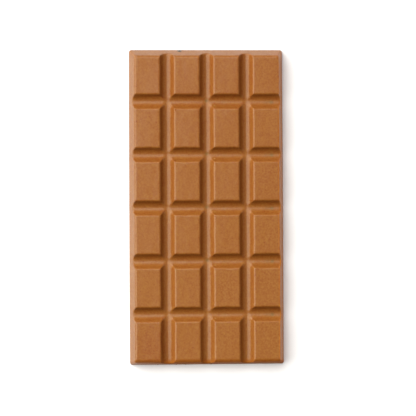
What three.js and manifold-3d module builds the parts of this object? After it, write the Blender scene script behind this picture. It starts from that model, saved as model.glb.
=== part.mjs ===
// A moulded milk chocolate tablet, lying on its flat back.
// One solid: a slab with leaning sides, parted by break grooves into 4 by 6 oblong pieces.
// Millimetres. +Z is up, +Y runs along the tablet and +X across it.
// The origin is the middle of the back, on the surface that the tablet lies on.
import * as THREE from "three";
import { mergeVertices } from "three/addons/utils/BufferGeometryUtils.js";
import Module from "manifold-3d";

// Driving dimensions.
const LENGTH = 154;
const WIDTH = 75;
const THICKNESS = 8.4;
const COLUMNS = 4;
const ROWS = 6;
const COLUMN_PITCH = 19.3;
const ROW_PITCH = 26;
const SIDE_LEAN = THREE.MathUtils.degToRad(17.5); // the draft that lets the tablet out of its mould
const FOOT_RADIUS = 0.3;
const RIM_RADIUS = 1.2;
const CORNER_RADIUS = 1.2; // of the outline at the foot
const RIM_CORNER_RADIUS = 0.8; // of the outline at the top
const GROOVE_DEPTH = 3;
const GROOVE_WIDTH = 8.2; // from flat to flat, with both rounded lips
const GROOVE_FLOOR_RADIUS = 3;
const LIP_RADIUS = 1.1;

// Smoothness.
const FOOT_STEPS = 2;
const RIM_STEPS = 4;
const LIP_STEPS = 4;
const FLOOR_STEPS = 10;
const CORNER_STEPS = 5;

const CUTTER_MARGIN = 2; // how far a cutter reaches past the slab
const RIGHT_ANGLE = Math.PI / 2;

const wasm = await Module();
wasm.setup();

// A closed three.js geometry as a manifold-3d solid.
function solidOf(geometry) {
  const bare = geometry.clone();
  bare.deleteAttribute("normal");
  bare.deleteAttribute("uv");
  const merged = mergeVertices(bare);
  return new wasm.Manifold(
    new wasm.Mesh({
      numProp: 3,
      vertProperties: merged.getAttribute("position").array,
      triVerts: new Uint32Array(merged.index.array),
    }),
  );
}

// A manifold-3d solid as a three.js geometry with flat faces.
function geometryOf(solid) {
  const mesh = solid.getMesh();
  const indexed = new THREE.BufferGeometry();
  indexed.setAttribute(
    "position",
    new THREE.BufferAttribute(mesh.vertProperties, mesh.numProp),
  );
  indexed.setIndex(new THREE.BufferAttribute(mesh.triVerts, 1));
  const geometry = indexed.toNonIndexed();
  geometry.computeVertexNormals();
  return geometry;
}

// The points of an arc from one angle to another, both ends included.
function arc(centreX, centreY, radius, from, to, steps) {
  return Array.from({ length: steps + 1 }, (_, step) => {
    const angle = THREE.MathUtils.lerp(from, to, step / steps);
    return new THREE.Vector2(
      centreX + radius * Math.cos(angle),
      centreY + radius * Math.sin(angle),
    );
  });
}

// A side of the slab in section, from the back up to the top: x is minus the inset, y the height.
// The side leans in from the widest point of its small round foot, and runs into the round rim.
function sideProfile() {
  const foot = arc(
    -FOOT_RADIUS,
    FOOT_RADIUS,
    FOOT_RADIUS,
    -RIGHT_ANGLE,
    0,
    FOOT_STEPS,
  );
  const rimHeight = THICKNESS - RIM_RADIUS;
  const rimInset =
    (rimHeight - FOOT_RADIUS) * Math.tan(SIDE_LEAN) +
    RIM_RADIUS / Math.cos(SIDE_LEAN);
  const rim = arc(
    -rimInset,
    rimHeight,
    RIM_RADIUS,
    SIDE_LEAN,
    RIGHT_ANGLE,
    RIM_STEPS,
  );
  return [...foot, ...rim];
}

// The outline of the slab at one point of that section, with round corners that tighten upwards.
function outlineAt({ x, y: height }) {
  const radius = THREE.MathUtils.lerp(
    CORNER_RADIUS,
    RIM_CORNER_RADIUS,
    height / THICKNESS,
  );
  const cornerX = WIDTH / 2 + x - radius;
  const cornerY = LENGTH / 2 + x - radius;
  const corners = [
    [cornerX, cornerY],
    [-cornerX, cornerY],
    [-cornerX, -cornerY],
    [cornerX, -cornerY],
  ];
  return corners.flatMap(([centreX, centreY], quarter) => {
    const from = quarter * RIGHT_ANGLE;
    const to = from + RIGHT_ANGLE;
    return arc(centreX, centreY, radius, from, to, CORNER_STEPS).map(
      (point) => new THREE.Vector3(point.x, point.y, height),
    );
  });
}

// A closed body through a stack of outlines that each have the same number of points.
function loft(outlines) {
  const count = outlines[0].length;
  const triangles = [];
  for (let level = 0; level + 1 < outlines.length; level++) {
    for (let point = 0; point < count; point++) {
      const lower = level * count + point;
      const lowerNext = level * count + ((point + 1) % count);
      const upper = lower + count;
      const upperNext = lowerNext + count;
      triangles.push(lower, lowerNext, upperNext, lower, upperNext, upper);
    }
  }
  const top = (outlines.length - 1) * count;
  for (let point = 1; point + 1 < count; point++) {
    triangles.push(0, point + 1, point);
    triangles.push(top, top + point, top + point + 1);
  }
  return new THREE.BufferGeometry()
    .setFromPoints(outlines.flat())
    .setIndex(triangles);
}

// The section of a groove, as the shape that a cutter takes away.
// Two straight walls run smoothly into a round floor below and into a round lip at each side above.
function grooveSection() {
  const halfWidth = GROOVE_WIDTH / 2;
  const radii = GROOVE_FLOOR_RADIUS + LIP_RADIUS;
  const rise = GROOVE_DEPTH - radii;
  const steepness =
    Math.asin(radii / Math.hypot(halfWidth, rise)) +
    Math.atan2(rise, halfWidth);
  const lipHeight = THICKNESS - LIP_RADIUS;
  const rightLip = arc(
    halfWidth,
    lipHeight,
    LIP_RADIUS,
    RIGHT_ANGLE,
    RIGHT_ANGLE + steepness,
    LIP_STEPS,
  );
  const floor = arc(
    0,
    THICKNESS - GROOVE_DEPTH + GROOVE_FLOOR_RADIUS,
    GROOVE_FLOOR_RADIUS,
    steepness - RIGHT_ANGLE,
    -steepness - RIGHT_ANGLE,
    FLOOR_STEPS,
  );
  const leftLip = arc(
    -halfWidth,
    lipHeight,
    LIP_RADIUS,
    RIGHT_ANGLE - steepness,
    RIGHT_ANGLE,
    LIP_STEPS,
  );
  return new THREE.Shape([
    new THREE.Vector2(halfWidth, THICKNESS + CUTTER_MARGIN),
    ...rightLip,
    ...floor,
    ...leftLip,
    new THREE.Vector2(-halfWidth, THICKNESS + CUTTER_MARGIN),
  ]);
}

// A cutter of that section lying along +Y, a little longer than what it cuts, over the origin.
function grooveCutter(length) {
  const depth = length + 2 * CUTTER_MARGIN;
  return new THREE.ExtrudeGeometry(grooveSection(), {
    depth,
    bevelEnabled: false,
  })
    .translate(0, 0, -depth / 2)
    .rotateX(RIGHT_ANGLE);
}

// The places of the grooves between a number of pieces, about the middle.
function groovePlaces(pieces, pitch) {
  return Array.from(
    { length: pieces - 1 },
    (_, groove) => (groove + 1 - pieces / 2) * pitch,
  );
}

function tabletGeometry() {
  const lengthwise = grooveCutter(LENGTH);
  const crosswise = grooveCutter(WIDTH).rotateZ(RIGHT_ANGLE);
  let tablet = solidOf(loft(sideProfile().map(outlineAt)));
  for (const x of groovePlaces(COLUMNS, COLUMN_PITCH)) {
    tablet = tablet.subtract(solidOf(lengthwise.clone().translate(x, 0, 0)));
  }
  for (const y of groovePlaces(ROWS, ROW_PITCH)) {
    tablet = tablet.subtract(solidOf(crosswise.clone().translate(0, y, 0)));
  }
  return geometryOf(tablet);
}

const milkChocolate = new THREE.MeshStandardMaterial({
  color: 0xac6f3d,
  roughness: 0.42,
  metalness: 0,
});

const tablet = new THREE.Mesh(tabletGeometry(), milkChocolate);
tablet.name = "tablet";

const chocolateBar = new THREE.Group();
chocolateBar.name = "chocolate_bar";
chocolateBar.add(tablet);

export default chocolateBar;
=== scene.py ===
import math

import bmesh
import bpy
import numpy as np
from mathutils.geometry import delaunay_2d_cdt
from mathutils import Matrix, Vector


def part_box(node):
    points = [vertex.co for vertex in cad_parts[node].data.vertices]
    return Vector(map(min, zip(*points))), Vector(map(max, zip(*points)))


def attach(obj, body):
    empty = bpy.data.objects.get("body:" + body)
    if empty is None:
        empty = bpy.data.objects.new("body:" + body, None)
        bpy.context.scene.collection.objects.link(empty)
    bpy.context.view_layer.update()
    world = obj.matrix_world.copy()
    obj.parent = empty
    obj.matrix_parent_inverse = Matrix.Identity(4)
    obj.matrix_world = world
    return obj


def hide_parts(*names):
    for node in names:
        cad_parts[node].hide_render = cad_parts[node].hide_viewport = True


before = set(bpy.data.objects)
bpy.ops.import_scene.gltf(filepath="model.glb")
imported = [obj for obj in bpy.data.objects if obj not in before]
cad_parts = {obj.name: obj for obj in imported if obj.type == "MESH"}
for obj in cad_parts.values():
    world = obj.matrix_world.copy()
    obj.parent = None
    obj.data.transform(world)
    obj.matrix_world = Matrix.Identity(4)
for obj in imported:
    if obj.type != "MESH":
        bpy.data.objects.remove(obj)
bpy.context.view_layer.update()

MM = 0.001
TINY = 1e-9  # divided by in place of none
LOW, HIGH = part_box("tablet")
WIDTH, LENGTH, THICKNESS = [side / MM for side in HIGH - LOW]

# The true form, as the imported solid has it.
COLUMNS, ROWS = 4, 6
COLUMN_PITCH = 19.3
ROW_PITCH = 26.0
FOOT_RADIUS = 0.3
CORNER_RADIUS = 1.2  # of the outline at the foot
RIM_CORNER_RADIUS = 0.8  # of the outline at the top
GROOVE_DEPTH = 3.0
GROOVE_WIDTH = 8.2  # from flat to flat, with both rounded lips
GROOVE_FLOOR_RADIUS = 3.0
LIP_RADIUS = 1.1

# How the real tablet differs from that form.
RIM_RADII = {"right": 0.5, "left": 1.1, "far": 1.5, "near": 2.2}  # its rims are unevenly sharp
SIDE_LEANS = {"right": 15.5, "left": 16.8, "far": 17.5, "near": 11.5}  # in degrees
CORNER_BLEND = 4.0  # over what length a side's form and looks change into the next one's at a corner
HIP_ROUNDING = 0.45  # how softly the walls of two grooves, or a groove and a side, meet
OUT_OF_TRUE_LENGTH = 0.0026  # its left edge is longer than its middle by this share
OUT_OF_TRUE_WIDTH = 0.0019  # its near end is wider than its middle by this share
BOW = 0.17  # how far its long sides stand out halfway along: at its ends they do about half as far
WAIST = 0.1  # how far each piece's ends bow in
TOP_ASIDE = (0.45, -0.55)  # how far its top lies to one side of its back
GROOVES_ASIDE = (0.05, 0.15)  # how far the grooves lie to one side of the middle
WOBBLES = ((0.035, 8.0), (0.012, 3.0))  # of lips and rims seen from above: how far, over what length
WOBBLE_START = 3.0  # how far inside the outline the wobble has grown to that
SWELLS = ((0.02, 22.0), (0.006, 4.5))  # of the height of the flats: how far, over what length
BACK_HOLLOW = 0.06  # how far the back is off the surface that it lies on
BACK_HOLLOW_START = 3.0  # over what length from the foot inwards it rises to that

# The back's ripples: how high, over what length, and their rate lengthwise as a share of that across.
BACK_RIPPLES = ((0.02, 5.0, 0.4), (0.012, 2.8, 1.0))

# Seeded unevenness is a sum of waves. Of several such sums, each takes the next seed.
WAVES = 16
WAVE_STRETCHES = (0.7, 1.5)  # their lengths are between these shares of the one asked for
SIDEWAYS_SEED = 11
LENGTHWISE_SEED = 15
SWELL_SEED = 21
RIPPLE_SEED = 31
BACK_SEED = 41
NICK_SEED = 51
PINHOLE_SEED = 52
BACK_PIT_SEED = 53

# The mesh.
FLAT_STEP = 0.75
CHANNEL_STEP = 0.45
LIP_STEP = 0.19
RIM_STEP = 0.2
STEP_GROWTH = 0.35  # how fast the steps widen away from a fine place
STEP_SAMPLES = 20001  # how many places the steps are worked out at
CORNER_STRETCH = 8.0  # how far from a corner a ring's points spread out to fill the wider ring
SIDE_RINGS = 9
FOOT_RINGS = 4
RIM_RINGS = 9
BACK_STEP = 1.4
BACK_JITTER = 0.2  # how far the back's points stray, as a share of its step


def smooth(share):
    """A share from 0 to 1, made to start and end softly."""
    return share**2 * (3 - 2 * share)


def waves(x, y, wavelength, seed):
    """Smooth unevenness of about unit size: seeded waves of about one length in all directions."""
    rng = np.random.default_rng(seed)
    headings = rng.uniform(0, math.tau, WAVES)
    phases = rng.uniform(0, math.tau, WAVES)
    stretches = rng.uniform(*WAVE_STRETCHES, WAVES)
    total = np.zeros_like(x)
    for heading, phase, stretch in zip(headings, phases, stretches):
        along = x * math.cos(heading) + y * math.sin(heading)
        total += np.cos(along * math.tau / (wavelength * stretch) + phase)
    return total * math.sqrt(2 / WAVES)


# --- The form -------------------------------------------------------------------------------------


def rim_inset(radius, lean):
    """How far inside the outline a rim of some radius ends and the flat top begins."""
    return (THICKNESS - radius - FOOT_RADIUS) * np.tan(lean) + radius / np.cos(lean)


def foot_profile():
    """The small round foot in section, from the back up, as (inset, height) of each ring."""
    return [
        (FOOT_RADIUS * (1 - math.cos(angle)), FOOT_RADIUS * (1 + math.sin(angle)))
        for angle in np.linspace(-math.pi / 2, 0, FOOT_RINGS)
    ]


def side_insets():
    """The insets of the rings above the foot, close together on the rim.
    They suit the far side, whose rim reaches furthest in, and serve all round."""
    radius, lean = RIM_RADII["far"], math.radians(SIDE_LEANS["far"])
    rim = [
        rim_inset(radius, lean) - radius * math.cos(angle)
        for angle in np.linspace(lean, math.pi / 2, RIM_RINGS)
    ]
    return [*np.linspace(0, rim[0], SIDE_RINGS + 1)[1:-1], *rim]


def by_side(x, y, values):
    """At each point of the plan, the value of the side or the end that it belongs to."""
    past_corner = WIDTH / 2 - np.abs(x) - LENGTH / 2 + np.abs(y)
    on_end = smooth(np.clip(past_corner / CORNER_BLEND + 0.5, 0, 1))
    side = np.where(x > 0, values["right"], values["left"])
    end = np.where(y > 0, values["far"], values["near"])
    return side + (end - side) * on_end


def side_height(x, y, inset):
    """The height of the leaning side and its round rim, at one inset, round the plan of a ring."""
    radius = by_side(x, y, RIM_RADII)
    lean = np.radians(by_side(x, y, SIDE_LEANS))
    middle = rim_inset(radius, lean)
    before = np.clip(middle - inset, 0, radius)
    wall = FOOT_RADIUS + inset / np.tan(lean)
    rim = THICKNESS - radius + np.sqrt(radius**2 - before**2)
    return np.where(inset < middle - radius * np.cos(lean), wall, rim)


def groove_height(distance):
    """The height of a groove's surface over the top, none or less, at a distance from its middle.
    Straight walls run smoothly into a round floor below and into a round lip above."""
    distance = np.abs(distance)
    half = GROOVE_WIDTH / 2
    radii = GROOVE_FLOOR_RADIUS + LIP_RADIUS
    rise = GROOVE_DEPTH - radii
    steepness = math.asin(radii / math.hypot(half, rise)) + math.atan2(rise, half)
    floor_end = GROOVE_FLOOR_RADIUS * math.sin(steepness)
    lip_start = half - LIP_RADIUS * math.sin(steepness)
    floor_root = np.sqrt(np.maximum(GROOVE_FLOOR_RADIUS**2 - distance**2, 0))
    floor = GROOVE_FLOOR_RADIUS - GROOVE_DEPTH - floor_root
    wall_foot = GROOVE_FLOOR_RADIUS * (1 - math.cos(steepness)) - GROOVE_DEPTH
    wall = wall_foot + (distance - floor_end) * math.tan(steepness)
    lip = np.sqrt(np.maximum(LIP_RADIUS**2 - (half - distance) ** 2, 0)) - LIP_RADIUS
    inside = np.where(distance < floor_end, floor, wall)
    inside = np.where(distance > lip_start, lip, inside)
    return np.where(distance < half, inside, 0.0)


def groove_places(pieces, pitch, aside):
    """The places of the grooves between a number of pieces, about the middle or to one side of it."""
    return [aside + (groove + 1 - pieces / 2) * pitch for groove in range(pieces - 1)]


LENGTHWISE_GROOVES = groove_places(COLUMNS, COLUMN_PITCH, GROOVES_ASIDE[0])
CROSSWISE_GROOVES = groove_places(ROWS, ROW_PITCH, GROOVES_ASIDE[1])


def across_grooves(across, places):
    """The height over the top of a row of grooves, none or less, at a place across them."""
    height = np.zeros_like(across)
    for place in places:
        height = np.minimum(height, groove_height(across - place))
    return height


def lower_of(a, b):
    """The lower of two heights over the top, none or less, with a small round where they cross.
    The round dies out at the top, where there is nothing to round."""
    rounding = np.clip(-np.maximum(a, b), 0, HIP_ROUNDING)
    near = np.maximum(rounding - np.abs(a - b), 0) / np.maximum(rounding, TINY)
    return np.minimum(a, b) - near**2 * rounding / 4


def grooves(x, y):
    """The height of the grooved face over the flats: none on a flat, less in a groove."""
    return lower_of(across_grooves(x, LENGTHWISE_GROOVES), across_grooves(y, CROSSWISE_GROOVES))


def from_outline(x, y):
    """How far inside the outline a point of the plan is."""
    return np.minimum(WIDTH / 2 - np.abs(x), LENGTH / 2 - np.abs(y))


def out_of_true(x, y, height):
    """Where a point of the true form is on the real tablet: out of square, bowed, waisted and wobbly."""
    sideways, lengthwise, upwards = x / (WIDTH / 2), y / (LENGTH / 2), height / THICKNESS
    moved_x = x * (1 - OUT_OF_TRUE_WIDTH * lengthwise) + TOP_ASIDE[0] * upwards
    moved_x = moved_x + BOW * sideways**3 * np.cos(lengthwise)
    moved_y = y * (1 - OUT_OF_TRUE_LENGTH * sideways) + TOP_ASIDE[1] * upwards
    grown = np.clip(from_outline(x, y) / WOBBLE_START, 0, 1)
    piece_ends = np.sin(math.tau * y / ROW_PITCH) * np.cos(math.pi * (x / COLUMN_PITCH - 0.5)) ** 2
    moved_y = moved_y + WAIST * piece_ends * grown
    for number, (reach, wavelength) in enumerate(WOBBLES):
        moved_x = moved_x + reach * grown * waves(x, y, wavelength, SIDEWAYS_SEED + number)
        moved_y = moved_y + reach * grown * waves(x, y, wavelength, LENGTHWISE_SEED + number)
    return moved_x, moved_y


def swell(x, y, height):
    """How much too high a point is, or too low: most at the top and not at all at the foot."""
    share = np.clip(height / THICKNESS, 0, 1) ** 2
    return share * sum(
        reach * waves(x, y, wavelength, SWELL_SEED + number)
        for number, (reach, wavelength) in enumerate(SWELLS)
    )


def back_relief(x, y):
    """The height of the back over what it lies on: gently hollow, with ripples drawn out lengthwise."""
    inwards = np.clip((from_outline(x, y) - FOOT_RADIUS) / BACK_HOLLOW_START, 0, 1)
    height = BACK_HOLLOW
    for number, (reach, wavelength, rate) in enumerate(BACK_RIPPLES):
        height = height + reach * waves(x, y * rate, wavelength, RIPPLE_SEED + number)
    return np.maximum(height, 0) * smooth(inwards)


# --- The mesh -------------------------------------------------------------------------------------


def graded_lines(half, fine_places):
    """Places from -half to half, close together round each fine place and wider between them."""
    x = np.linspace(-half, half, STEP_SAMPLES)
    step = np.full_like(x, FLAT_STEP)
    for place, fine_step, reach in fine_places:
        beyond = np.maximum(np.abs(x - place) - reach, 0)
        step = np.minimum(step, fine_step + STEP_GROWTH * beyond)
    density = 1 / step
    count = np.concatenate([[0], np.cumsum((density[1:] + density[:-1]) / 2 * np.diff(x))])
    return np.interp(np.linspace(0, count[-1], round(count[-1]) + 1), count, x)


def mesh_lines(half, places):
    """The mesh lines across one direction of the grooved face."""
    fine = [(-half, RIM_STEP, 0.0), (half, RIM_STEP, 0.0)]
    lip = GROOVE_WIDTH / 2 - LIP_RADIUS / 2
    for place in places:
        fine.append((place, CHANNEL_STEP, GROOVE_WIDTH / 2))
        fine.append((place - lip, LIP_STEP, LIP_RADIUS / 2))
        fine.append((place + lip, LIP_STEP, LIP_RADIUS / 2))
    return graded_lines(half, fine)


def ring(boundary, inner_half, inset_change, radius):
    """The plan of one ring: the face's boundary points, spread onto a larger outline.
    Its corners have a round of some radius."""
    plan = []
    half = inner_half + inset_change
    for x, y in boundary:
        sides = np.array([x, y])
        signs = np.where(sides < 0, -1.0, 1.0)
        from_corner = inner_half - np.abs(sides)
        side = int(np.argmin(from_corner))  # 0 on a long side, 1 on an end
        along = from_corner[1 - side]
        if along < CORNER_STRETCH:
            along *= (CORNER_STRETCH + inset_change) / CORNER_STRETCH
        else:
            along += inset_change
        point = np.zeros(2)
        if along < radius:
            angle = math.pi / 4 * (1 - along / radius)
            point[side] = half[side] - radius * (1 - math.cos(angle))
            point[1 - side] = half[1 - side] - radius * (1 - math.sin(angle))
        else:
            point[side] = half[side]
            point[1 - side] = half[1 - side] - along
        plan.append(point * signs)
    return np.array(plan)


def side_rings(boundary, inner_half):
    """The points of each ring of the sides, from the back up to the grooved face."""
    insets = side_insets()
    rings = []
    for inset, height in foot_profile():
        plan = ring(boundary, inner_half, insets[-1] - inset, CORNER_RADIUS)
        rings.append(np.column_stack([plan, np.full(len(plan), height)]))
    for inset in insets:
        radius = CORNER_RADIUS + (RIM_CORNER_RADIUS - CORNER_RADIUS) * inset / insets[-1]
        plan = ring(boundary, inner_half, insets[-1] - inset, radius)
        rings.append(np.column_stack([plan, side_height(*plan.T, inset)]))
    return rings


def carved(skin):
    """The heights of the skin's points once the grooves are cut in, with their slow swell."""
    height = THICKNESS + lower_of(skin[:, 2] - THICKNESS, grooves(skin[:, 0], skin[:, 1]))
    return height + swell(skin[:, 0], skin[:, 1], height)


def back_mesh(edge):
    """Points and triangles that fill the back inside its edge, the edge's own points first."""
    rng = np.random.default_rng(BACK_SEED)
    xs = np.arange(-WIDTH / 2 + BACK_STEP, WIDTH / 2 - BACK_STEP / 2, BACK_STEP)
    ys = np.arange(-LENGTH / 2 + BACK_STEP, LENGTH / 2 - BACK_STEP / 2, BACK_STEP)
    inner = np.stack(np.meshgrid(xs, ys, indexing="ij"), -1).reshape(-1, 2)
    inner = inner + rng.uniform(-BACK_JITTER, BACK_JITTER, inner.shape) * BACK_STEP
    points = np.concatenate([edge, inner])
    inside_only, closeness = 1, 1e-6
    outline = [list(range(len(edge)))]
    made = delaunay_2d_cdt([tuple(point) for point in points], [], outline, inside_only, closeness)
    if len(made[0]) != len(points):
        raise ValueError("the back's points ran together")
    order = np.array([origins[0] for origins in made[3]])
    return points, order[np.array([list(face) for face in made[2]])]


def tablet_skin():
    """The closed skin as points and faces: grooved face, rim, sides, foot and back."""
    inner_half = np.array([WIDTH / 2, LENGTH / 2]) - side_insets()[-1]
    lines_x = mesh_lines(inner_half[0], LENGTHWISE_GROOVES)
    lines_y = mesh_lines(inner_half[1], CROSSWISE_GROOVES)
    grid_x, grid_y = [grid.ravel() for grid in np.meshgrid(lines_x, lines_y, indexing="ij")]
    index = np.arange(len(grid_x)).reshape(len(lines_x), len(lines_y))
    around = np.concatenate([index[-1, :-1], index[:0:-1, -1], index[0, :0:-1], index[:-1, 0]])
    count = len(around)

    rings = side_rings(np.stack([grid_x[around], grid_y[around]], 1), inner_half)
    face = np.column_stack([grid_x, grid_y, np.full(index.size, THICKNESS)])
    face[around] = rings[-1]
    skin = np.concatenate([face, *rings[:-1]])
    skin[:, 2] = carved(skin)

    quads = [
        np.stack([index[:-1, :-1], index[1:, :-1], index[1:, 1:], index[:-1, 1:]], -1).reshape(-1, 4)
    ]
    levels = [index.size + level * count + np.arange(count) for level in range(len(rings) - 1)]
    levels.append(around)
    for low, high in zip(levels, levels[1:]):
        quads.append(np.stack([low, np.roll(low, -1), np.roll(high, -1), high], -1))

    edge = levels[0]
    back_points, back_faces = back_mesh(skin[edge, :2])
    inner = back_points[count:]
    back_index = np.concatenate([edge, len(skin) + np.arange(len(inner))])
    skin = np.concatenate([skin, np.column_stack([inner, back_relief(*inner.T)])])
    skin[:, 0], skin[:, 1] = out_of_true(*skin.T)
    return skin, np.concatenate(quads).tolist() + back_index[back_faces[:, ::-1]].tolist()


# --- Marks and patches ----------------------------------------------------------------------------

# Pits and bumps, each as (radius, height): a pit's height is less than none.
BUBBLE = (0.34, -0.4)
WALL_BUMP = (0.3, 0.1)
CROSSING_BUMP = (0.4, 0.22)
SPECK_BUMP = (0.8, 0.4)
RIM_BUMP = (0.3, 0.08)
FOOT_NUB = (0.4, 0.14)

# Where those lie on the grooved face, as x and y, or on a side, as x, y and z.
BUBBLE_PLACE = (-15.3, 47.9)
WALL_BUMP_PLACES = ((-3.4, 73.6), (-2.9, 72.3))
RIM_BUMP_PLACES = ((10.5, 74.6), (12.2, 74.7), (-23.6, -64.0), (35.0, -67.4))
CROSSING_BUMP_PLACE = (4.1, -2.1)  # its x, and its y from the middle of each crosswise groove
SPECK_PLACE = (-12.7, 76.5, 1.6)
FOOT_NUB_PLACES = (-24.0, -15.0, -10.4, 2.1)  # x alone: they are on the near end's foot

# Small marks at seeded places. A span is how far from the middle they go, in widths and in lengths.
NICKS = 70
NICK_RADII = (0.2, 0.45)
NICK_DEPTHS = (0.03, 0.09)
NICK_SPAN = (0.45, 0.47)
LENGTHWISE_NICKS = 0.6  # the share of the nicks that are on a lengthwise groove's lips
PIT_SPAN = (0.44, 0.47)
PINHOLES = 40
PINHOLE_RADII = (0.16, 0.3)
PINHOLE_DEPTHS = (0.03, 0.08)
BACK_PITS = 26
BACK_PIT_RADII = (0.3, 1.0)
BACK_PIT_DEPTHS = (0.08, 0.25)

# A pit's raised rim: its height as a share of the depth, and its distance and width in radii.
PIT_RIM_HEIGHT = 0.2
PIT_RIM_DISTANCE = 1.05
PIT_RIM_WIDTH = 0.25

# On a mark the mesh is split in a few rounds. The step and the reach of that are in the mark's radii.
MARK_ROUNDS = 4
MARK_STEP = 0.35
MARK_REACH = 1.4

# Greyish smudges in each crosswise groove, as (x, y from the groove's middle, radius, strength).
SMUDGES = ((8.6, -0.5, 1.4, 0.15), (31.8, -0.5, 1.0, 1.0), (29.3, -0.5, 1.3, 0.3))
CROSSING_SMUDGE = (0.1, 0.2, 1.0, 0.85)  # in all of them but the nearest
SPOT_FALLOFF = 1.4  # how quickly a soft spot fades

# Something grey that sticks to the far end, as spots of one radius and strength.
SPECK_XS = (-13.1, -12.3)
SPECK_YZS = ((76.7, 1.0), (76.3, 2.2))
SPECK_SPOT = (0.8, 0.95)

# What differs from side to side, and from end to end: painted sheen, painted floor light, painted shade
# and the near end's duller gloss.
PAINTED_SHEEN_SIDES = {"right": 0, "left": 1, "far": 1, "near": 0}  # how much of each side carries painted sheen: the left side and the far end, which face the key light
PAINTED_FLOOR_LIGHT_SIDES = {"right": 1, "left": 0, "far": 0, "near": 0}  # how much of each side carries painted light and reflection from the bright floor: the right side
SIDE_OVERLAP = 0.35  # how far onto the rim a side's share reaches
SIDE_FADE = 0.2  # over what length it fades there
PAINTED_LIGHT_SLOPE = 0.3  # how much painted light makes the tone paler from the middle to the near end, which the key light reaches less
PAINTED_LIGHT_START = 0.3  # where it isn't changed, as a share of the way from the middle to the far end
DULL_SHADE_REACH = 3.0  # how far the near end's dull gloss and painted shade reach in
DULL_SHADE_FADE = 1.2  # over what length it fades there
DULL_SHADE_START = -40.0  # where along the near end it starts
DULL_SHADE_GROWTH = 22.0  # over what length it gets wholly dull and painted darker


def on_face(x, y):
    """A point of the grooved face, from its place in the true plan."""
    x, y = np.float64(x), np.float64(y)
    height = THICKNESS + grooves(x, y)
    return (*out_of_true(x, y, height), height + swell(x, y, height))


def on_back(x, y):
    """A point of the back, well inside its foot."""
    return x, y, BACK_HOLLOW


def crossing_bumps():
    """The place of the small bump in each crossing right of the middle groove."""
    x, aside = CROSSING_BUMP_PLACE
    return [on_face(x, row + aside) for row in CROSSWISE_GROOVES]


def nicks():
    """Small chips along the grooves' lips, at seeded places."""
    rng = np.random.default_rng(NICK_SEED)
    for _ in range(NICKS):
        aside = rng.choice([-1, 1]) * (GROOVE_WIDTH / 2 - LIP_RADIUS / 2)
        radius, depth = rng.uniform(*NICK_RADII), rng.uniform(*NICK_DEPTHS)
        if rng.random() < LENGTHWISE_NICKS:
            x = rng.choice(LENGTHWISE_GROOVES) + aside
            y = rng.uniform(-NICK_SPAN[1], NICK_SPAN[1]) * LENGTH
        else:
            x = rng.uniform(-NICK_SPAN[0], NICK_SPAN[0]) * WIDTH
            y = rng.choice(CROSSWISE_GROOVES) + aside
        yield on_face(x, y), radius, -depth


def pits(count, radii, depths, place, seed):
    """Seeded pits over the whole plan."""
    rng = np.random.default_rng(seed)
    for _ in range(count):
        x = rng.uniform(-PIT_SPAN[0], PIT_SPAN[0]) * WIDTH
        y = rng.uniform(-PIT_SPAN[1], PIT_SPAN[1]) * LENGTH
        yield place(x, y), rng.uniform(*radii), -rng.uniform(*depths)


def marks():
    """Every pit and bump, as (place, radius, height)."""
    made = [(on_face(*BUBBLE_PLACE), *BUBBLE)]
    made += [(on_face(*place), *WALL_BUMP) for place in WALL_BUMP_PLACES]
    made += [(on_face(*place), *RIM_BUMP) for place in RIM_BUMP_PLACES]
    made += [(SPECK_PLACE, *SPECK_BUMP)]
    made += [(place, *CROSSING_BUMP) for place in crossing_bumps()]
    made += [((x, -LENGTH / 2, FOOT_RADIUS), *FOOT_NUB) for x in FOOT_NUB_PLACES]
    made += nicks()
    made += pits(PINHOLES, PINHOLE_RADII, PINHOLE_DEPTHS, on_face, PINHOLE_SEED)
    made += pits(BACK_PITS, BACK_PIT_RADII, BACK_PIT_DEPTHS, on_back, BACK_PIT_SEED)
    return made


def coordinates(mesh, what="co"):
    """The mesh's points, or their normals, as an array."""
    flat = np.empty(len(mesh.vertices) * 3, np.float32)
    mesh.vertices.foreach_get(what, flat)
    return flat.reshape(-1, 3).astype(float)


def long_edges(mesh, made):
    """The edges beside a mark that are too long to carry its shape."""
    points = coordinates(mesh)
    ends = np.empty(len(mesh.edges) * 2, np.int32)
    mesh.edges.foreach_get("vertices", ends)
    ends = points[ends.reshape(-1, 2)]
    middles = ends.mean(1)
    lengths = np.linalg.norm(ends[:, 1] - ends[:, 0], axis=1)
    wanted = np.zeros(len(middles), bool)
    for place, radius, _ in made:
        away = np.linalg.norm(middles - place, axis=1)
        wanted |= (away < MARK_REACH * radius + lengths / 2) & (lengths > MARK_STEP * radius)
    return np.flatnonzero(wanted)


def refine(mesh, made):
    """Splits the long edges beside each mark, in a few rounds.
    A point that this leaves with only two edges is taken out."""
    for _ in range(MARK_ROUNDS):
        chosen = long_edges(mesh, made)
        if len(chosen) == 0:
            break
        shape = bmesh.new()
        shape.from_mesh(mesh)
        shape.edges.ensure_lookup_table()
        edges = [shape.edges[number] for number in chosen]
        bmesh.ops.subdivide_edges(shape, edges=edges, cuts=1, use_grid_fill=True)
        between = [point for point in shape.verts if len(point.link_edges) == 2]
        bmesh.ops.dissolve_verts(shape, verts=between)
        shape.to_mesh(mesh)
        shape.free()


def relief(points, made):
    """How far each point stands out of the plain skin: pits have a slightly raised rim."""
    total = np.zeros(len(points))
    for place, radius, height in made:
        share = np.linalg.norm(points - place, axis=1) / radius
        total += height * np.maximum(1 - share**2, 0) ** 2
        if height < 0:
            from_rim = (share - PIT_RIM_DISTANCE) / PIT_RIM_WIDTH
            total -= PIT_RIM_HEIGHT * height * np.exp(-(from_rim**2))
    return total


def smudges():
    """Greyish smudges in the crosswise grooves, as soft spots."""
    made = []
    for number, row in enumerate(CROSSWISE_GROOVES):
        here = SMUDGES if number == 0 else (*SMUDGES, CROSSING_SMUDGE)
        for x, aside, radius, strength in here:
            made.append((on_face(x, row + aside), radius, strength))
    return made


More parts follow.
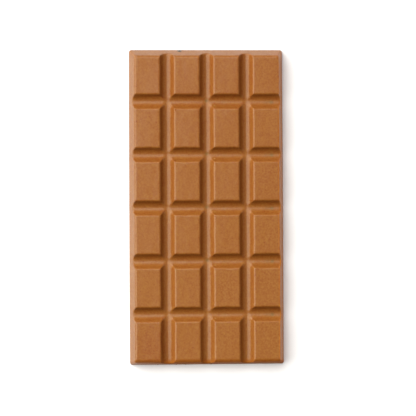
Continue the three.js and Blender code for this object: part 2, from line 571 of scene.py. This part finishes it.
def tone_patches():
    """Where the chocolate is lighter than elsewhere, or darker, as soft spots. The dark spot in the
    bubble is painted shade.
    """
    return [(place, 0.45, 3.0) for place in crossing_bumps()] + [
        # Painted shade in the bubble.
        (on_face(*BUBBLE_PLACE), 0.32, -3.0),
        ((-27.0, -67.5, THICKNESS), 11.0, -0.9),
        (on_face(-7.7, -69.6), 2.5, -0.5),
        (on_face(-28.8, -69.4), 2.0, -0.4),
        (on_face(-29.8, 67.7), 0.7, 1.6),
        ((-37.0, 38.1, 1.6), 0.7, 1.2),
    ]


def specks():
    """Where something grey sticks to the far end, as soft spots."""
    return [((x, y, z), *SPECK_SPOT) for x in SPECK_XS for y, z in SPECK_YZS]


def spotted(points, spots):
    """The sum of soft round spots, each as (place, radius, strength), at each point."""
    total = np.zeros(len(points))
    for place, radius, strength in spots:
        away = np.linalg.norm(points - place, axis=1) / radius
        total += strength * np.exp(-(away**2) * SPOT_FALLOFF)
    return total


def side_share(points, shares):
    """A share of each side at its points, and none elsewhere."""
    x = points[:, 0] - TOP_ASIDE[0] * points[:, 2] / THICKNESS
    y = points[:, 1] - TOP_ASIDE[1] * points[:, 2] / THICKNESS
    side_inset = (points[:, 2] - FOOT_RADIUS) * np.tan(np.radians(by_side(x, y, SIDE_LEANS)))
    on_side = np.clip((side_inset + SIDE_OVERLAP - from_outline(x, y)) / SIDE_FADE, 0, 1)
    return on_side * by_side(x, y, shares)


def painted_light_nearer(points):
    """Painted light along the tablet: the tone grows slowly paler towards the near end, which the key
    light reaches less, and darker towards the far end.
    """
    return PAINTED_LIGHT_SLOPE * (PAINTED_LIGHT_START - points[:, 1] / (LENGTH / 2))


def dull_and_shade_share(points):
    """How dull the chocolate is, and how much painted shade darkens it: only the near end is, and less
    so in its first column of pieces.
    """
    near_end = np.clip((DULL_SHADE_REACH - LENGTH / 2 - points[:, 1]) / DULL_SHADE_FADE, 0, 1)
    return near_end * np.clip((points[:, 0] - DULL_SHADE_START) / DULL_SHADE_GROWTH, 0, 1)


def paint(mesh):
    """Leaves what varies over the chocolate on the mesh, as named numbers at its points."""
    points = coordinates(mesh)
    layers = {
        "smudge": spotted(points, smudges()),
        # The tone holds painted light towards the near end, painted shade in the bubble, and tone that
        # differs from place to place.
        "tone": painted_light_nearer(points) + spotted(points, tone_patches()),
        # Painted sheen on the left side and the far end, which face the key light.
        "painted_sheen": side_share(points, PAINTED_SHEEN_SIDES),
        # Painted light and reflection from the bright floor on the right side.
        "painted_floor_light": side_share(points, PAINTED_FLOOR_LIGHT_SIDES),
        # The near end's duller gloss, and the painted shade that darkens it.
        "dull_and_shade": dull_and_shade_share(points),
        "speck": spotted(points, specks()),
    }
    for name, values in layers.items():
        mesh.attributes.new(name, "FLOAT", "POINT").data.foreach_set("value", values)


def tablet_mesh():
    """The tablet's mesh, with its marks."""
    skin, faces = tablet_skin()
    mesh = bpy.data.meshes.new("chocolate_bar")
    mesh.from_pydata(skin.tolist(), [], faces)
    mesh.update()
    made = marks()
    refine(mesh, [*made, *specks()])
    paint(mesh)
    points = coordinates(mesh)
    points += coordinates(mesh, "normal") * relief(points, made)[:, None]
    points[:, 2] = np.maximum(points[:, 2], 0)
    mesh.vertices.foreach_set("co", (points * MM).ravel())
    mesh.update()
    mesh.shade_smooth()
    return mesh


# --- Materials ------------------------------------------------------------------------------------

CHOCOLATE = (0.25, 0.0768, 0.0109)
TONE_RANGE = (0.22, 0.62, 1.0)  # how far the darkest and lightest tones are from it, as shares
PAINTED_SHEEN_TINT = (0.94, 1.07, 1.8, 1)  # what the chocolate's colour is multiplied by where painted sheen lies, on the lit sides
# Painted light and reflection from the bright floor, on the right side.
PAINTED_FLOOR_LIGHT_TINT = (1.6, 1.56, 0.85, 1)
# Painted shade on the near end, darker and browner.
NEAR_END_SHADE_TINT = (1.02, 0.88, 0.5, 1)
SMUDGE_COLOUR = (0.15, 0.08, 0.022, 1)
SMUDGE_COVER = 0.8
SPECK_COLOUR = (0.05, 0.03, 0.022, 1)
ROUGHNESS = 0.69
IOR = 1.425
GLOSS_TINT = (1.0, 0.939, 0.603, 1)
COAT = 0.525  # how strong its thin gloss is, where it isn't dull
COAT_ROUGHNESS = 0.212
PINPRICK_CORE = 0.4  # how much of a pinprick's radius is at full strength
FLOOR_COLOUR = (0.86, 0.785, 0.785, 1)
FLOOR_ROUGHNESS = 0.9


def node(tree, kind, inputs=None, **settings):
    """A shader node with its settings, and its inputs each given a value or another node's output."""
    made = tree.nodes.new("ShaderNode" + kind)
    for name, value in settings.items():
        setattr(made, name, value)
    for name, value in (inputs or {}).items():
        if isinstance(value, bpy.types.NodeSocket):
            tree.links.new(value, made.inputs[name])
        else:
            made.inputs[name].default_value = value
    return made


def math_node(tree, operation, *values):
    """The result of a Math node."""
    return node(tree, "Math", dict(enumerate(values)), operation=operation).outputs[0]


def attribute(tree, name):
    """A number that was painted on the mesh."""
    return node(tree, "Attribute", attribute_name=name).outputs["Fac"]


def noise(tree, place, size, seed, detail=2.0, stretch=None):
    """Noise from 0 to 1 with features of about a size in millimetres."""
    if stretch is not None:
        place = node(tree, "Mapping", {"Vector": place, "Scale": stretch}).outputs[0]
    inputs = {"Vector": place, "W": seed, "Scale": 1 / (size * MM), "Detail": detail}
    return node(tree, "TexNoise", inputs, noise_dimensions="4D").outputs["Fac"]


def pinpricks(tree, place, spacing, radius, share, seed):
    """Round spots of one radius, in a share of the cells of one spacing, in millimetres.
    It is 1 in a spot and 0 outside."""
    shifted = node(tree, "Mapping", {"Vector": place, "Location": (seed, 0, 0)}).outputs[0]
    cells = node(tree, "TexVoronoi", {"Vector": shifted, "Scale": 1 / (spacing * MM)})
    draw = node(tree, "SeparateColor", {"Color": cells.outputs["Color"]}).outputs[0]
    chosen = math_node(tree, "LESS_THAN", draw, share)
    edge = {
        "Value": cells.outputs["Distance"],
        "From Min": PINPRICK_CORE * radius / spacing,
        "From Max": radius / spacing,
        "To Min": 1.0,
        "To Max": 0.0,
    }
    spot = node(tree, "MapRange", edge, interpolation_type="SMOOTHSTEP").outputs[0]
    return math_node(tree, "MULTIPLY", chosen, spot)


def added(tree, start, parts):
    """A start value, plus each part times its weight."""
    total = start
    for value, weight in parts:
        total = math_node(tree, "MULTIPLY_ADD", value, weight, total)
    return total


def varied(tree, start, noises):
    """A start value, plus each noise's distance from a half times its weight."""
    centred = [(math_node(tree, "SUBTRACT", value, 0.5), weight) for value, weight in noises]
    return added(tree, start, centred)


def mixed(tree, factor, first, second, blend="MIX"):
    """A mix of two colours, each a value or an output."""
    inputs = {0: factor, 6: first, 7: second}  # the numbers of a Mix node's sockets for colours
    settings = {"data_type": "RGBA", "clamp_factor": True, "blend_type": blend}
    return node(tree, "Mix", inputs, **settings).outputs[2]


def milk_chocolate():
    """Satin milk chocolate: a fine grain, faint mottling, pinpricks, smudges and a dull near end, with
    painted sheen on its lit sides, painted floor light on its right side and painted shade on its near
    end.
    """
    material = bpy.data.materials.new("milk_chocolate")
    material.use_nodes = True
    tree = material.node_tree
    shader = tree.nodes["Principled BSDF"]
    place = node(tree, "TexCoord").outputs["Object"]

    grain = noise(tree, place, size=0.9, seed=1.0)
    fine_grain = noise(tree, place, size=0.3, seed=2.0, detail=1.0)
    mottle = noise(tree, place, size=3.5, seed=3.0, detail=3.0)
    drift = noise(tree, place, size=22.0, seed=4.0)
    streaks = noise(tree, place, size=1.2, seed=5.0, stretch=(1.0, 0.12, 1.0))
    pricks = pinpricks(tree, place, spacing=1.6, radius=0.42, share=0.14, seed=0.37)
    sparks = pinpricks(tree, place, spacing=3.0, radius=0.35, share=0.12, seed=0.73)

    tone = varied(tree, 0.5, [(grain, 1.0), (mottle, 0.16), (drift, 0.1), (streaks, 0.06)])
    tone = added(tree, tone, [(attribute(tree, "tone"), 0.16), (pricks, -0.3), (sparks, 0.15)])
    dark = [part * (1 - share) for part, share in zip(CHOCOLATE, TONE_RANGE)]
    light = [part * (1 + share) for part, share in zip(CHOCOLATE, TONE_RANGE)]
    colour = mixed(tree, tone, (*dark, 1), (*light, 1))
    # Painted sheen on the lit sides, painted light from the floor on the right side and painted shade on
    # the near end tint the colour.
    for layer, tint in (("painted_sheen", PAINTED_SHEEN_TINT), ("painted_floor_light", PAINTED_FLOOR_LIGHT_TINT), ("dull_and_shade", NEAR_END_SHADE_TINT)):
        colour = mixed(tree, attribute(tree, layer), colour, tint, "MULTIPLY")
    smudge = math_node(tree, "MULTIPLY", attribute(tree, "smudge"), SMUDGE_COVER)
    colour = mixed(tree, smudge, colour, SMUDGE_COLOUR)
    colour = mixed(tree, attribute(tree, "speck"), colour, SPECK_COLOUR)
    tree.links.new(colour, shader.inputs["Base Color"])

    rough = varied(tree, ROUGHNESS, [(mottle, 0.12), (drift, 0.1), (grain, 0.06)])
    tree.links.new(rough, shader.inputs["Roughness"])
    coat = added(tree, COAT, [(attribute(tree, "dull_and_shade"), -COAT)])
    tree.links.new(coat, shader.inputs["Coat Weight"])
    shader.inputs["IOR"].default_value = IOR
    shader.inputs["Specular Tint"].default_value = GLOSS_TINT
    shader.inputs["Coat Roughness"].default_value = COAT_ROUGHNESS

    height = varied(tree, 0.0, [(grain, 0.03), (fine_grain, 0.008), (streaks, 0.004)])
    height = added(tree, height, [(pricks, -0.03), (sparks, 0.02)])
    bump = node(tree, "Bump", {"Strength": 1.0, "Distance": MM, "Height": height})
    tree.links.new(bump.outputs["Normal"], shader.inputs["Normal"])
    return material


def white_floor():
    """Plain matt white."""
    material = bpy.data.materials.new("white_floor")
    material.use_nodes = True
    shader = material.node_tree.nodes["Principled BSDF"]
    shader.inputs["Base Color"].default_value = FLOOR_COLOUR
    shader.inputs["Roughness"].default_value = FLOOR_ROUGHNESS
    return material


# --- The studio, in metres ------------------------------------------------------------------------

FLOOR_HALF = 3.0
SKY_STRENGTH = 0.266
SKY_SLANT = (0.9, 0.95, 0.0)  # how much brighter the sky is towards +X, +Y and +Z, as shares
SKY_LEAST = 0.02  # of the strength, on its dark side
CAMERA_HEIGHT = 2.0
CAMERA_ROLL = math.radians(-0.279)
CAMERA_PLACE = (0.00094, -0.00045)
VIEW_ACROSS = 0.20397  # what the picture takes in at the floor


def floor():
    """The surface that the tablet lies on."""
    half = FLOOR_HALF
    mesh = bpy.data.meshes.new("floor")
    corners = [(-half, -half, 0), (half, -half, 0), (half, half, 0), (-half, half, 0)]
    mesh.from_pydata(corners, [], [(0, 1, 2, 3)])
    mesh.materials.append(white_floor())
    thing = bpy.data.objects.new("floor", mesh)
    bpy.context.scene.collection.objects.link(thing)


def soft_light(name, turn, rise, distance, size, power, colour):
    """A round soft light that faces the tablet: its turn is from +X, seen from above, in degrees."""
    light = bpy.data.lights.new(name, "AREA")
    light.shape = "DISK"
    light.size = size
    light.energy = power
    light.color = colour
    lamp = bpy.data.objects.new(name, light)
    bpy.context.scene.collection.objects.link(lamp)
    turn, rise = math.radians(turn), math.radians(rise)
    across = math.cos(rise) * distance
    lamp.location = (math.cos(turn) * across, math.sin(turn) * across, math.sin(rise) * distance)
    lamp.rotation_euler = (-lamp.location).to_track_quat("-Z", "Y").to_euler()


def sky():
    """A white studio all round, brightest past the tablet's far right corner and darkest opposite."""
    world = bpy.data.worlds.new("studio")
    world.use_nodes = True
    tree = world.node_tree
    backdrop = tree.nodes["Background"]
    backdrop.inputs["Color"].default_value = (1, 1, 1, 1)
    heading = node(tree, "TexCoord").outputs["Generated"]
    slant = node(tree, "VectorMath", {0: heading, 1: SKY_SLANT}, operation="DOT_PRODUCT")
    share = math_node(tree, "ADD", slant.outputs["Value"], 1.0)
    share = math_node(tree, "MAXIMUM", share, SKY_LEAST)
    strength = math_node(tree, "MULTIPLY", share, SKY_STRENGTH)
    tree.links.new(strength, backdrop.inputs["Strength"])
    bpy.context.scene.world = world


def camera():
    """A camera far above the tablet that looks straight down."""
    data = bpy.data.cameras.new("camera")
    data.lens = data.sensor_width * CAMERA_HEIGHT / VIEW_ACROSS
    eye = bpy.data.objects.new("camera", data)
    eye.location = (*CAMERA_PLACE, CAMERA_HEIGHT)
    eye.rotation_euler = (0, 0, CAMERA_ROLL)
    bpy.context.scene.collection.objects.link(eye)
    bpy.context.scene.camera = eye


# --- The scene ------------------------------------------------------------------------------------

tablet = bpy.data.objects.new("chocolate_bar", tablet_mesh())
tablet.data.materials.append(milk_chocolate())
bpy.context.scene.collection.objects.link(tablet)
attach(tablet, "root")
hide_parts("tablet")

floor()
soft_light(
    "key",
    turn=153.5,
    rise=45.7,
    distance=1.875,
    size=3.25,
    power=99.8,
    colour=(0.909, 1.0, 0.967),
)
sky()
camera()
bpy.context.scene.view_settings.view_transform = "Standard"
bpy.context.scene.view_settings.look = "Medium High Contrast"
